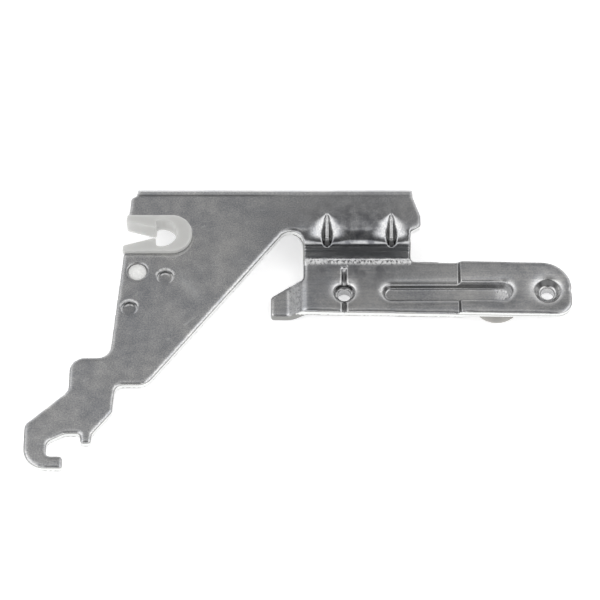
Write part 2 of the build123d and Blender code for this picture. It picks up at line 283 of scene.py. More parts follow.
def colour(name, description, default):
    """Colour property from an sRGB hex default."""
    return bpy.props.FloatVectorProperty(
        name=name, description=description, default=linear(default), subtype="COLOR", min=0, max=1
    )


def length(name, description, default):
    """Length property with its default in millimetres."""
    return bpy.props.FloatProperty(
        name=name, description=description, default=default * MM, subtype="DISTANCE", unit="LENGTH"
    )


def share(name, description, default):
    """Property between 0 and 1."""
    return bpy.props.FloatProperty(
        name=name, description=description, default=default, subtype="FACTOR", min=0, max=1
    )


class SheetSettings(bpy.types.PropertyGroup):
    """Forming and finish of the pressed sheet."""

    mesh: length("Mesh size", "Edge length of the sheet's surface mesh", 0.46)
    dip: length("Dart dip", "How far the sheet is drawn down beside each dart", 1.8)
    roll: length("Edge roll", "How far cut edges are drawn down on the front", 0.2)
    sink: length("Rim sink", "How far the rims of dishes and bead are drawn down", 0.5)
    wave: length("Waviness", "Height of the slow waves left in the flat sheet", 0.06)
    bright: colour("Zinc, bright", "Brightest patches of the plating", "#D8D7D5")
    dull: colour("Zinc, dull", "Dullest patches of the plating", "#A7A9AE")
    oiled: colour("Oiled steel", "Film of press oil round the step", "#78797E")
    drawn: colour("Drawn steel", "Burnished wall of the step", "#828487")
    # Painted shade colour: near black, laid in grooves and on walls where shade falls
    painted_shade: colour("Grime", "Old press oil in narrow grooves", "#2C2D2E")
    # Painted highlight colour: near white, laid on bends, rims, dimples and bead ends where light
    # glints
    painted_highlight: colour("Rubbed metal", "Spots that the tool rubs bright", "#FAFAFA")
    fracture: colour("Fracture", "Torn lower part of the cut edge", "#8E8E8C")
    cut: colour("Cut edge", "Sheared edge of the sheet", "#E6E7E6")
    roughness: share("Roughness", "Of the plated surface", 0.25)


class BushSettings(bpy.types.PropertyGroup):
    """Finish of the pivot bush."""

    mesh: length("Mesh size", "Edge length of the bush's surface mesh", 0.25)
    acetal: colour("Acetal", "Natural white of the moulding", "#B6B6B4")
    # Glow is a painted glow: emission that lifts the moulding's shaded walls
    glow: share("Glow", "Light that comes through the moulding", 0.27)
    staked: colour("Staked peg", "Stress-whitened end of the peg", "#ECECEA")
    roughness: share("Roughness", "Of the moulded surface", 0.38)


class StudSettings(bpy.types.PropertyGroup):
    """Finish of the stud."""

    mesh: length("Mesh size", "Edge length of the stud's surface mesh", 0.25)
    steel: colour("Steel", "Turned and plated steel", "#CBC9C5")
    roughness: share("Roughness", "Of the turned surface", 0.45)


class StageSettings(bpy.types.PropertyGroup):
    """Floor, light and camera."""

    floor: colour("Floor", "Paper on the table", "#FAFAFA")
    glow: bpy.props.FloatProperty(
        name="Floor light", description="Light that comes up through the paper", default=0.5, min=0
    )
    sides: bpy.props.FloatProperty(
        name="Side light", description="Level of the white walls left and right", default=1.8, min=0
    )
    elevation: bpy.props.FloatProperty(
        name="Camera height",
        description="Angle of the camera above the floor",
        default=math.radians(60),
        subtype="ANGLE",
        unit="ROTATION",
    )
    distance: length("Camera distance", "From the camera to the point it looks at", 900)
    aim: bpy.props.FloatVectorProperty(
        name="Aim",
        description="Point in the plate's front plane that the camera looks at",
        default=(41.95 * MM, -22.48 * MM, 0.0),
        subtype="XYZ",
        unit="LENGTH",
    )
    lens: bpy.props.FloatProperty(
        name="Lens", description="Focal length in millimetres", default=180.0, min=20
    )


# Meshes of the pieces


def even_mesh(node, name, size, rounds):
    """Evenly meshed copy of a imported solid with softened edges."""
    source = bpy.data.objects.new(name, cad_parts[node].data.copy())
    bpy.context.scene.collection.objects.link(source)
    shell = bmesh.new()
    shell.from_mesh(source.data)
    bmesh.ops.remove_doubles(shell, verts=shell.verts, dist=WELD * MM)
    shell.to_mesh(source.data)
    shell.free()
    even = source.modifiers.new("even", "REMESH")
    even.mode = "VOXEL"
    even.voxel_size = size
    even.use_smooth_shade = True
    soften = source.modifiers.new("soften", "SMOOTH")
    soften.factor = SOFTENING
    soften.iterations = rounds
    graph = bpy.context.evaluated_depsgraph_get()
    mesh = bpy.data.meshes.new_from_object(source.evaluated_get(graph), depsgraph=graph)
    bpy.data.objects.remove(source)
    mesh.name = name
    mesh.materials.clear()
    return mesh


def place(mesh, material, node):
    """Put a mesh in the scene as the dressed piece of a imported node."""
    mesh.materials.append(material)
    piece = bpy.data.objects.new(mesh.name, mesh)
    bpy.context.scene.collection.objects.link(piece)
    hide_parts(node)
    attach(piece, "root")


def read(mesh, source, field):
    """Vectors of a mesh's vertices or normals as three arrays."""
    flat = np.empty(3 * len(mesh.vertices), dtype=np.float32)
    source.foreach_get(field, flat)
    return flat.reshape(-1, 3).astype(float).T


def reshape(mesh, x, y, z):
    """Move a mesh's vertices to places in millimetres."""
    moved = np.stack([x, y, z]).T * MM
    mesh.vertices.foreach_set("co", moved.ravel().astype(np.float32))
    mesh.update()


def mark(mesh, name, values):
    """Store one number per vertex for a material to read."""
    layer = mesh.attributes.new(name, "FLOAT", "POINT")
    layer.data.foreach_set("value", np.asarray(values, dtype=np.float32))


def ease(value, start, end):
    """Smooth step from 0 at start to 1 at end."""
    t = np.clip((value - start) / (end - start), 0, 1)
    return t * t * (3 - 2 * t)


def hill(distance, reach):
    """Bell that falls off over a reach."""
    return np.exp(-((distance / reach) ** 2))


def plan_distance(x, y, spot):
    """Distance in plan from a spot."""
    return np.hypot(x - spot[0], y - spot[1])


def bead_distance(x, y):
    """Distance in plan from the bead's middle line."""
    along = np.clip(x, BEAD_ENDS[0], BEAD_ENDS[1])
    return np.hypot(x - along, y - ARM_LINE)


def dart_distance(x):
    """Distance along the part from the middle of the nearer dart."""
    return np.min([np.abs(x - dart) for dart in DART_X], axis=0)


# Where the sheet is cut, bent and pressed, and where shade and highlights are painted on it


def step_slope(x, y):
    """Slope of the sheet along y, rising over the bend at the top of the step."""
    steep = np.clip((WEB_START - y) / WEB_TOP_R, 0, math.sin(WEB_SLOPE))
    on_step = (x > WEB_LEFT - WEB_SIDE) & (x < WEB_RIGHT + WEB_SIDE) & (y > WEB_FOOT)
    return np.arcsin(np.where(on_step, steep, 0))


def step_front(y, slope):
    """Height of the sheet's front over the bend and the wall of the step."""
    bend_end = WEB_START - WEB_TOP_R * math.sin(WEB_SLOPE)
    return -WEB_TOP_R * (1 - np.cos(slope)) - np.maximum(bend_end - y, 0) * math.tan(WEB_SLOPE)


def sheared(x, y, n):
    """True on the cut edges, false on faces, folds, step and pressed forms."""
    level = np.abs(n[0]) < FLAT
    flange = level & (y > FOLD_Y)
    step = level & (x > WEB_LEFT) & (x < WEB_RIGHT)
    step &= (y > WEB_FOOT - CLEAR["foot"]) & (y < STEP_TOP)
    pressed = bead_distance(x, y) < BEAD_HALF + CLEAR["bead"]
    for spot, radius in DISHES:
        pressed |= plan_distance(x, y, spot) < radius + CLEAR["dish"]
    for spot in DIMPLES:
        pressed |= plan_distance(x, y, spot) < DIMPLE_R + CLEAR["dimple"]
    pressed |= plan_distance(x, y, PEG) < PEG_R + CLEAR["peg"]
    beside_dart = dart_distance(x) < DART_HALF + CLEAR["dart"]
    pressed |= beside_dart & (np.abs(y - DART_MIDDLE) < DART_REACH)
    beside_line = np.abs(x - LINE_X) < LINE_HALF + CLEAR["line"]
    pressed |= beside_line & (y > LINE_SPAN[0]) & (y < LINE_SPAN[1])
    return (np.abs(n[2]) < UPRIGHT) & ~flange & ~step & ~pressed


def in_dart(y):
    """True along the stretch that the darts take up."""
    return (y > DART_INSIDE[0]) & (y < DART_INSIDE[1])


def dart_sides(x, y, z, slope):
    """Shares of painted highlight on the floor and of painted shade on the walls inside the darts."""
    middle = dart_distance(x)
    inside = (middle < DART_HALF) & in_dart(y) & (step_front(y, slope) - z > DART_MOUTH)
    floor = inside * (1 - ease(middle, *DART_HIGHLIGHT_HALF)) * ease(y, *DART_HIGHLIGHT_LOW)
    return floor, inside * (1 - floor)


def coined_floor(x, y, z, slope):
    """Height that flattens the round bottom of the darts to a slightly crowned strip."""
    middle = dart_distance(x)
    depth = step_front(y, slope) - z
    widening = DART_WIDENING * (DART_NARROWEST - y)
    radius = np.clip(DART_BOTTOM_R[0] + widening, *DART_BOTTOM_R)
    half = STRIP_SHARE * radius
    within = np.minimum(middle, half)
    bottom = radius - np.sqrt(radius**2 - within**2)
    edge = radius * (1 - math.sqrt(1 - STRIP_SHARE**2))
    strip = edge + STRIP_CROWN * (half**2 - within**2)
    floor = (middle < half) & in_dart(y) & (depth < DART_DEEPEST)
    return (strip - bottom) * ease(depth, DART_MOUTH, DART_FORMED) * floor


def wall_shade(x, y, n):
    """Share of painted shade in bead, dishes, dimples, pressed line and lift, and round the peg."""
    leaning = ease(-n[1], *WALL_LEAN)
    crushed = hill(plan_distance(x, y, CRUSHED), CRUSHED_R)
    from_bead = bead_distance(x, y) - BEAD_HALF
    dark = [PAINTED_SHADE["bead"] * (1 - crushed) * (from_bead < 0) * leaning]
    for spot, radius in DISHES:
        away = plan_distance(x, y, spot)
        wall = (away < radius) & (away > HOLE_R + HOLE_LIP)
        dark.append(PAINTED_SHADE["dish"] * wall * leaning)
    for spot in DIMPLES:
        wall = hill(plan_distance(x, y, spot) - DIMPLE_R + FINE, FINE)
        dark.append(PAINTED_SHADE["dimple"] * wall * ease(y - spot[1], *DIMPLE_WALL))
    leaf = sum(np.sin(np.pi * np.clip((top - y) / run, 0, 1)) for top, run in LINE_LEAVES)
    dark.append(PAINTED_SHADE["line"] * ease(LINE_HALF * leaf - np.abs(x - LINE_X), 0, LINE_SOFT))
    dark.append(PAINTED_SHADE["peg"] * hill(plan_distance(x, y, PEG) - PEG_R, FINE))
    on_arm = (from_bead > LIFT_GAP) & (y < WEB_FOOT) & (n[2] > 0)
    dark.append(PAINTED_SHADE["lift"] * hill(x - LIFT_X, NARROW) * on_arm)
    return np.max(dark, axis=0) * (n[2] > NOT_REAR)


def fold_shade(x, y):
    """Share of painted shade along the crest of the folded flange, fading to the right."""
    return PAINTED_SHADE["fold"] * hill(y - FOLD_CREST, FOLD_WIDTH) * (1 - ease(x, *FOLD_FADE))


def bright_spots(x, y, n):
    """Share of painted highlight at foot, tab, bead ends, dishes, dimples and line end."""
    foot = hill(y - WEB_FOOT - NARROW, FOOT_BAND)
    foot *= ease(x, WEB_LEFT, WEB_LEFT + WEB_SIDE) * (x < WEB_RIGHT)
    tab = ease(x, TAB_KNEE - TAB_SOFT, TAB_KNEE + TAB_SOFT) * (y < TAB_TOP)
    tab *= ease(WEB_LEFT - x, TAB_SOFT, 3 * TAB_SOFT)
    highlight_shares = [PAINTED_HIGHLIGHT["foot"] * foot, PAINTED_HIGHLIGHT["tab"] * tab]
    # Painted highlights on the crumpled right end and on the left end of the bead
    for spot, reach in ((CRUSHED, CRUSHED_R), (BEAD_LEFT_GLINT, BEAD_LEFT_GLINT_R)):
        highlight_shares.append(hill(plan_distance(x, y, spot), reach))
    for spot, radius in DISHES:
        away = plan_distance(x, y, spot)
        side = ease(np.abs(x - spot[0]) / away, *DISH_SIDE) * (y > DISH_HIGHLIGHT_LOW)
        highlight_shares.append(PAINTED_HIGHLIGHT["dish"] * side * hill(away - radius + NARROW, FINE))
    for spot in DIMPLES:
        away = plan_distance(x, y, spot) - DIMPLE_R
        rings = np.max([hill(away - ring, HAIR) for ring in DIMPLE_RINGS], axis=0)
        highlight_shares.append(rings * ease(y - spot[1], *DIMPLE_HIGHLIGHT))
    above = y - LINE_LEAVES[0][0]
    fork = hill(np.abs(x - LINE_X) - FORK_SPREAD * above, FORK_WIDTH)
    highlight_shares.append(fork * (np.abs(above - FORK_MIDDLE) < FORK_REACH))
    return np.max(highlight_shares, axis=0) * (n[2] > FORWARD)


def drawn_wall(y, n, slope):
    """Share of burnished wall on the step, above its foot and beside the darts."""
    wall = ease(slope, *DRAWN_SLOPE) * ease(y, *DRAWN_LOW)
    return wall * (n[2] > 0) * (np.abs(n[0]) < SIDEWAYS)


def oil_film(x, y, beside):
    """Share of press oil round the step, rubbed off in the dips beside the darts."""
    film = hill(np.hypot((x - OIL_MIDDLE) / OIL_STRETCH, y), OIL_REACH)
    return film * (1 - OIL_RUBBED_OFF * ease(beside, 0, OIL_EDGE))


def cut_depth(x, y, z):
    """Depth below the sheet's front as a share of its thickness."""
    front = np.where((x > LOW_LEFT) & (y < WEB_FOOT), ARM_Z, 0)
    return (front - z) / SHEET


def scratches(x, y):
    """Handling marks on the face: one smear and a scatter of short scratches."""
    above = y - SMEAR[1]
    away = np.hypot(x - SMEAR[0] + SMEAR_LEAN * above, SMEAR_STRETCH * above)
    marks = SMEAR_LEVEL * hill(away, SMEAR_REACH)
    random = np.random.default_rng(SCRATCH_SEED)
    for _ in range(SCRATCHES):
        spot = random.uniform(*FACE_AREA)
        turn = random.uniform(-SCRATCH_TURN, SCRATCH_TURN)
        half = random.uniform(*SCRATCH_HALF)
        along = (x - spot[0]) * math.cos(turn) + (y - spot[1]) * math.sin(turn)
        across = (y - spot[1]) * math.cos(turn) - (x - spot[0]) * math.sin(turn)
        line = hill(across, SCRATCH_WIDTH) * (np.abs(along) < half)
        marks = np.maximum(marks, random.uniform(*SCRATCH_LEVEL) * line)
    return marks


# How the sheet is formed


def small_work(x, y):
    """True near the darts, dimples, dishes, pressed line, bead rim, crushed spot and lift."""
    near = abs(bead_distance(x, y) - BEAD_HALF) < FINER["bead"]
    for dart in DART_X:
        beside = abs(x - dart) < DART_HALF + FINER["dart"]
        near |= beside and abs(y - DART_MIDDLE) < DART_REACH + FINER["dart"] / 2
    for spot in DIMPLES:
        near |= math.dist((x, y), spot) < DIMPLE_R + FINER["dimple"]
    for spot, radius in DISHES:
        near |= math.dist((x, y), spot) < radius + FINER["dish"]
    beside = abs(x - LINE_X) < LINE_HALF + FINER["line"]
    near |= beside and LINE_FINER[0] < y < LINE_FINER[1]
    near |= math.dist((x, y), CRUSHED) < CRUSHED_R + FINER["crushed"]
    return near or (abs(x - LIFT_X) < FINER["lift"] and y < WEB_FOOT)


def sharpen(mesh, node):
    """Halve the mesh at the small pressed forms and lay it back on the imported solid."""
    solid = BVHTree.FromPolygons(
        [vertex.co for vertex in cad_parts[node].data.vertices],
        [polygon.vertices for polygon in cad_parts[node].data.polygons],
    )
    shell = bmesh.new()
    shell.from_mesh(mesh)
    edges = set()
    for face in shell.faces:
        middle = face.calc_center_median() / MM
        if face.normal.z > NOT_REAR and small_work(middle.x, middle.y):
            edges.update(face.edges)
    bmesh.ops.subdivide_edges(shell, edges=list(edges), cuts=1, use_grid_fill=True)
    for vertex in shell.verts:
        vertex.co = solid.find_nearest(vertex.co)[0]
    for _ in range(SHEET_ROUNDS):
        bmesh.ops.smooth_vert(
            shell,
            verts=shell.verts,
            factor=SOFTENING,
            use_axis_x=True,
            use_axis_y=True,
            use_axis_z=True,
        )
    shell.to_mesh(mesh)
    shell.free()
    mesh.shade_smooth()


def dart_dips(x, y):
    """Nearness to the darts within the dips beside them, and the dips' depth up to 1."""
    lead = np.maximum(DART_TOP + DIP_LEAD - y, 0)
    width = DIP_START + DIP_SPREAD * np.tanh(lead / DIP_RUN)
    beside = np.zeros(len(x))
    for dart in DART_X:
        away = np.hypot(x - dart, np.maximum(y - DART_TOP, 0))
        beside = np.maximum(beside, np.clip(1 - away / width, 0, 1) ** 2)
    beside *= ease(y, -DIP_FADE, DIP_FADE)
    return beside, beside * width / (DIP_START + DIP_SPREAD)


def sag(x, y):
    """Depth by which the sheet sags towards the bend of the step."""
    across = ease(SAG_TOP - y, 0, SAG_TOP - SAG_LOW) * ease(y, WEB_FOOT, SAG_LOW)
    return SAG_DEPTH * across * ease(x, WEB_LEFT - SAG_SIDE, WEB_LEFT)


def sunk_rims(x, y):
    """Share of sinking round bead and dishes, twice as deep at the bead's right end."""
    outside = np.maximum(bead_distance(x, y) - BEAD_HALF, 0)
    rims = np.exp(-outside / BEAD_FALL) * (1 + hill(x - BEAD_DEEPEST, BEAD_END_REACH))
    for spot, radius in DISHES:
        away = np.maximum(plan_distance(x, y, spot) - radius, 0)
        rims = np.maximum(rims, np.exp(-away / DISH_FALL))
    on_arm = ease(ARM_TOP - y, 0, ARM_FADE) * ease(x - WEB_LEFT, 0, ARM_SIDE_FADE)
    return rims * on_arm


def crumple(x, y):
    """Uneven depth of the crushed spot at the bead's end."""
    folds = math.prod(np.sin(along * x + across * y) for along, across in CRUMPLE_FOLDS)
    return CRUMPLE_DEPTH * folds * hill(plan_distance(x, y, CRUSHED), CRUSHED_R)


def slow_waves(x, y):
    """Waves of the flat sheet, between -1 and 1."""
    along = np.sin(x / WAVE_X + WAVE_WANDER * np.sin(y / WAVE_WANDER_Y))
    across = np.sin(y / WAVE_Y - x / WAVE_SLANT + WAVE_SHIFT)
    return (along + across) / 2


def rolled_edge(points, cut, front):
    """Share of rolling down on the front beside the cut edges."""
    tree = KDTree(int(cut.sum()))
    for i, point in enumerate(points[:, cut].T):
        tree.insert(point, i)
    tree.balance()
    distance = np.full(points.shape[1], ROLL_REACH)
    for i in np.flatnonzero(front):
        distance[i] = tree.find(points[:, i])[2]
    return (1 - np.minimum(distance, ROLL_REACH) / ROLL_REACH) ** 2


def dimple_tilt(x, y, z):
    """Depth taken from the dimples, so that each runs out level at its lower side."""
    dent = np.zeros(len(x))
    for spot in DIMPLES:
        inside = (plan_distance(x, y, spot) < DIMPLE_R + DIMPLE_RIM) & (z > DIMPLE_LOW)
        rise = np.clip((spot[1] + DIMPLE_R - y) / (2 * DIMPLE_R), 0, 1)
        dent += np.where(inside, z * rise, 0)
    return dent


def press(mesh, settings):
    """Form the sheet by what pressing draws down, and mark its worked places, painted shade and
    painted highlights.
    """
    points = read(mesh, mesh.vertices, "co") / MM
    n = read(mesh, mesh.vertex_normals, "vector")
    x, y, z = points
    cut = sheared(x, y, n)
    slope = step_slope(x, y)
    front = (n[2] > FLAT) & ~cut & (slope < LEVEL_SLOPE)
    beside, dip = dart_dips(x, y)
    drop = dip * settings.dip / MM
    drop += sag(x, y)
    drop += sunk_rims(x, y) * settings.sink / MM
    drop += crumple(x, y)
    drop += slow_waves(x, y) * settings.wave / MM
    drop += rolled_edge(points, cut, front) * settings.roll / MM
    z = z - dimple_tilt(x, y, z) + np.where(n[2] > 0, coined_floor(x, y, z, slope), 0)
    y = y + drop * np.sin(slope)
    z = z - drop * np.cos(slope)
    reshape(mesh, x, y, z)

    # Painted highlight on the coined dart floors, painted shade on the dart walls
    floor, dart_wall_shade = dart_sides(x, y, points[2], slope)
    painted_shade = np.max([wall_shade(x, y, n), PAINTED_SHADE["dart"] * dart_wall_shade, fold_shade(x, y)], axis=0)
    surface_marks = {
        "sheared": cut,
        "drawn": drawn_wall(y, n, slope),
        "painted_shade": painted_shade,
        "painted_highlight": np.maximum(bright_spots(x, y, n), PAINTED_HIGHLIGHT["dart"] * floor),
        "gloss": oil_film(x, y, beside),
        "depth": cut_depth(x, y, points[2]),
        "arm": ARM_BRUSHING * ease(-y, -ARM_FADE, ARM_FADE) * (x > LOW_LEFT),
        "smear": scratches(x, y) * (n[2] > FACE_UP),
    }
    for name, values in surface_marks.items():
        mark(mesh, name, values)


def stake(mesh):
    """Flatten the locking peg unevenly, as melted down by the tool."""
    x, y, z = read(mesh, mesh.vertices, "co") / MM
    away = plan_distance(x, y, PEG)
    peg = (away < PEG_R) & (z > PEG_LOW)
    (turns_x, shift_x), (turns_y, shift_y) = PEG_LUMPS
    lump = PEG_LUMP * np.sin(turns_x * x + shift_x) * np.sin(turns_y * y + shift_y)
    lump += PEG_CROWN * hill(away, PEG_CROWN_R) - PEG_CROWN / 2
    reshape(mesh, x, y, np.where(peg, z + lump * ease(PEG_R - away, 0, PEG_RIM), z))
    mark(mesh, "staked", peg)


# Nodes of the materials


def add(tree, kind, inputs=None, **settings):
    """Add a node with its settings; each input takes a wire or a plain value."""
    node = tree.nodes.new(kind)
    for name, value in settings.items():
        setattr(node, name, value)
    for socket, value in (inputs or {}).items():
        if isinstance(value, bpy.types.NodeSocket):
            tree.links.new(value, node.inputs[socket])
        else:
            node.inputs[socket].default_value = value
    return node


def maths(tree, operation, *values):
    """Result of one sum on wires or plain values."""
    return add(tree, "ShaderNodeMath", dict(enumerate(values)), operation=operation).outputs[0]


def ranged(tree, value, span, low=0.0, high=1.0, kind="LINEAR"):
    """Value carried over from a span to low and high, and held outside the span."""
    inputs = {"Value": value, "From Min": span[0], "From Max": span[1], "To Min": low, "To Max": high}
    return add(tree, "ShaderNodeMapRange", inputs, interpolation_type=kind).outputs[0]


def mixed(tree, factor, below, above):
    """Number between two others."""
    return add(tree, "ShaderNodeMix", {0: factor, 2: below, 3: above}).outputs[0]


def blend(tree, factor, below, above):
    """Colour between two others."""
    return add(tree, "ShaderNodeMix", {0: factor, 6: below, 7: above}, data_type="RGBA").outputs[2]


def noises(tree, patterns):
    """Noise outputs by name from sizes in millimetres, detail and stretch along each axis."""
    coords = add(tree, "ShaderNodeTexCoord").outputs["Object"]
    outputs = {}
    for name, (size, detail, stretch) in patterns.items():
        scaled = add(tree, "ShaderNodeMapping", {"Vector": coords, "Scale": stretch}).outputs[0]
        inputs = {"Vector": scaled, "Scale": 1 / (size * MM), "Detail": detail}
        outputs[name] = add(tree, "ShaderNodeTexNoise", inputs).outputs["Fac"]
    return outputs


def relief(tree, shader, height, depth):
    """Fine relief of a depth in millimetres on a shader."""
    bump = add(tree, "ShaderNodeBump", {"Height": height, "Distance": depth * MM})
    tree.links.new(bump.outputs[0], shader.inputs["Normal"])


def new_material(name):
    """Fresh material with its node tree and its shader."""
    material = bpy.data.materials.new(name)
    material.use_nodes = True
    tree = material.node_tree
    return material, tree, tree.nodes["Principled BSDF"]


# Materials

EVEN = (1, 1, 1)

# Zinc plating: sizes, detail and stretch of its patterns, and how they add up
ZINC_PATTERNS = {
    "patch": (14, 4, EVEN),
    "cloud": (3.2, 5, EVEN),
    "grain": (0.45, 3, EVEN),
    "brushed": (0.6, 3, (0.04, 1, 1)),
    "shear": (0.7, 3, (1, 1, 0.12)),
    "speck": (0.7, 3, (1, 0.7, 1)),
}
CLOUD_WEIGHT = 0.5
GRAIN_WEIGHT = 1.3
TONE_SPAN = (1.05, 1.75)
FILM_SPAN = (0.36, 0.62)
SPECK_SPAN = (0.4, 0.56)
SPECK_LEAST = 0.2
STREAK_LEAST = 0.1
GRAIN_RELIEF = 0.006

# Cut edge: where it tears, and a painted shade line below its rolled rim
TEAR_WEIGHT = 0.5
TEAR_SPAN = (0.9, 1.05)
SHADE_LINE_DEPTH = 0.17
SHADE_LINE_HALF = 0.05

# What makes the plating rougher or smoother
CLOUD_ROUGHNESS = 0.12
SMEAR_ROUGHNESS = 0.12
OIL_ROUGHNESS = -0.1
HIGHLIGHT_ROUGHNESS = 0.4

# Acetal
ACETAL_PATTERNS = {"flow": (4, 3, EVEN), "skin": (0.4, 2, EVEN)}
ACETAL_IOR = 1.48
ACETAL_SCATTER = 0.8
ACETAL_SCATTER_DEPTH = 5.0
FLOW_SHADE = 0.93
SKIN_RELIEF = 0.006

# Turned steel: pitch of the lathe's rings, and the length of a ring pattern of scale 1
RING_PITCH = 0.3
RING_LENGTH = math.tau / 20
RING_WAVER = 1.5
RING_SHADE = 0.75
RING_RELIEF = 0.008

# Paper
PAPER_PATTERNS = {"fibre": (0.8, 4, EVEN)}
PAPER_ROUGHNESS = 0.7
PAPER_RELIEF = 0.01


def zinc_steel(settings):
    """Zinc-plated cold-rolled sheet steel, pressed.

    The plating lies in soft patches of two greys over a fine rolling grain, so the sheet gives
    a cloudy satin reflection. The wall of the step is burnished dark by the tool, and the cut
    edges are bright with upright shear marks and a painted shade line below the rolled rim.
    Painted shade darkens grooves and walls, and painted highlights brighten bends, rims and dimples.
    """
    material, tree, shader = new_material("zinc_plated_steel")
    wave = noises(tree, ZINC_PATTERNS)
    marks = {
        name: add(tree, "ShaderNodeAttribute", attribute_name=name).outputs["Fac"]
        for name in ("sheared", "drawn", "painted_shade", "arm", "smear", "gloss", "depth", "painted_highlight")
    }
    grain = mixed(tree, marks["arm"], wave["grain"], wave["brushed"])
    grain = mixed(tree, marks["sheared"], grain, wave["shear"])
    total = maths(tree, "MULTIPLY_ADD", wave["cloud"], CLOUD_WEIGHT, wave["patch"])
    total = maths(tree, "MULTIPLY_ADD", grain, GRAIN_WEIGHT, total)
    tone = ranged(tree, total, TONE_SPAN)

    torn = maths(tree, "MULTIPLY_ADD", wave["shear"], TEAR_WEIGHT, marks["depth"])
    torn = ranged(tree, torn, TEAR_SPAN)
    # Painted shade line below the rolled rim, joined to the torn part in the fracture colour
    shade_line = maths(tree, "COMPARE", marks["depth"], SHADE_LINE_DEPTH, SHADE_LINE_HALF)
    torn = maths(tree, "MAXIMUM", torn, shade_line)
    edge = blend(tree, torn, opaque(settings.cut), opaque(settings.fracture))

    film = ranged(tree, wave["cloud"], FILM_SPAN, high=marks["gloss"])
    speckle = ranged(tree, wave["speck"], SPECK_SPAN, low=SPECK_LEAST)
    streaks = ranged(tree, wave["brushed"], SPECK_SPAN, low=STREAK_LEAST)
    drawn = maths(tree, "MULTIPLY", marks["drawn"], streaks)
    painted_highlight = maths(tree, "MULTIPLY", marks["painted_highlight"], speckle)
    hazed = maths(tree, "MULTIPLY", marks["smear"], speckle)
    layers = (
        (hazed, opaque(settings.cut)),
        (film, opaque(settings.oiled)),
        # painted highlight on bends, rims, dimples, dart floors and bead ends
        (painted_highlight, opaque(settings.painted_highlight)),
        (drawn, opaque(settings.drawn)),
        # painted shade in grooves, on walls, in the darts and along the fold
        (marks["painted_shade"], opaque(settings.painted_shade)),
        (marks["sheared"], edge),
    )
    surface = blend(tree, tone, opaque(settings.dull), opaque(settings.bright))
    for factor, above in layers:
        surface = blend(tree, factor, surface, above)

    smooth = settings.roughness - CLOUD_ROUGHNESS / 2
    shine = maths(tree, "MULTIPLY_ADD", wave["cloud"], CLOUD_ROUGHNESS, smooth)
    changes = (
        (marks["smear"], SMEAR_ROUGHNESS),
        (marks["gloss"], OIL_ROUGHNESS),
        (painted_highlight, HIGHLIGHT_ROUGHNESS),
    )
    for factor, change in changes:
        shine = maths(tree, "MULTIPLY_ADD", factor, change, shine)
    shader.inputs["Metallic"].default_value = 1.0
    tree.links.new(surface, shader.inputs["Base Color"])
    tree.links.new(shine, shader.inputs["Roughness"])
    relief(tree, shader, grain, GRAIN_RELIEF)
    return material


def white_acetal(settings):
    """Injection-moulded natural acetal.

    Milky white that lets a little light in, satin from the mould with faint flow clouds, with a
    painted glow that lifts its shaded walls. The flattened end of the peg is whitened by the
    stress.
    """
    material, tree, shader = new_material("white_acetal")
    wave = noises(tree, ACETAL_PATTERNS)
    dark = [FLOW_SHADE * value for value in settings.acetal]
    surface = blend(tree, wave["flow"], opaque(dark), opaque(settings.acetal))
    staked = add(tree, "ShaderNodeAttribute", attribute_name="staked").outputs["Fac"]
    surface = blend(tree, staked, surface, opaque(settings.staked))
    tree.links.new(surface, shader.inputs["Base Color"])
    relief(tree, shader, wave["skin"], SKIN_RELIEF)
    shader.inputs["Roughness"].default_value = settings.roughness
    shader.inputs["IOR"].default_value = ACETAL_IOR
    shader.inputs["Emission Color"].default_value = opaque(settings.acetal)
    # Painted glow: emission that lifts the shaded walls of the moulding
    shader.inputs["Emission Strength"].default_value = settings.glow
    shader.inputs["Subsurface Weight"].default_value = ACETAL_SCATTER
    shader.inputs["Subsurface Scale"].default_value = ACETAL_SCATTER_DEPTH * MM
    shader.inputs["Subsurface Radius"].default_value = EVEN
    return material


def turned_steel(settings):
    """Turned and zinc-plated steel: bright, with fine rings from the lathe."""
    material, tree, shader = new_material("turned_steel")
    coords = add(tree, "ShaderNodeTexCoord").outputs["Object"]
    middle = (-STUD_X * MM, -ARM_LINE * MM, 0)
    centred = add(tree, "ShaderNodeMapping", {"Vector": coords, "Location": middle}).outputs[0]
    rings = add(
        tree,
        "ShaderNodeTexWave",
        {"Vector": centred, "Scale": RING_LENGTH / (RING_PITCH * MM), "Distortion": RING_WAVER},
        wave_type="RINGS",
        rings_direction="Z",
    ).outputs["Fac"]
    dark = [RING_SHADE * value for value in settings.steel]
    surface = blend(tree, rings, opaque(dark), opaque(settings.steel))
    shader.inputs["Metallic"].default_value = 1.0
    shader.inputs["Roughness"].default_value = settings.roughness
    tree.links.new(surface, shader.inputs["Base Color"])
    relief(tree, shader, rings, RING_RELIEF)
    return material


# Floor, light and camera

# Light from front horizon over the top to rear horizon: degrees from straight up, and level
SKY = (
    (-90, 0.07),
    (-76, 0.1),
    (-68, 1.35),
    (-53, 1.35),
    (-45, 0.16),
    (0, 0.18),
    (8, 0.3),
    (14, 0.68),
    (19, 0.68),
    (25, 0.37),
    (30, 0.34),
    (36, 0.3),
    (44, 0.16),
    (51, 0.56),
    (90, 0.52),
)
HORIZON = 90

# Walls left and right: where they begin and dim to the sides, and their share in front and behind
WALL_NEAR = (0.1, 0.42)
WALL_FAR = (0.6, 0.85)
WALL_FAR_LEVEL = 0.35
WALL_FRONT = (math.radians(-45), math.radians(-6))
WALL_FRONT_SHARE = 0.4
WALL_REAR = (math.radians(10), math.radians(38))
WALL_REAR_SHARE = 0.35

# Half the side of the floor, in metres
FLOOR_HALF = 3.0


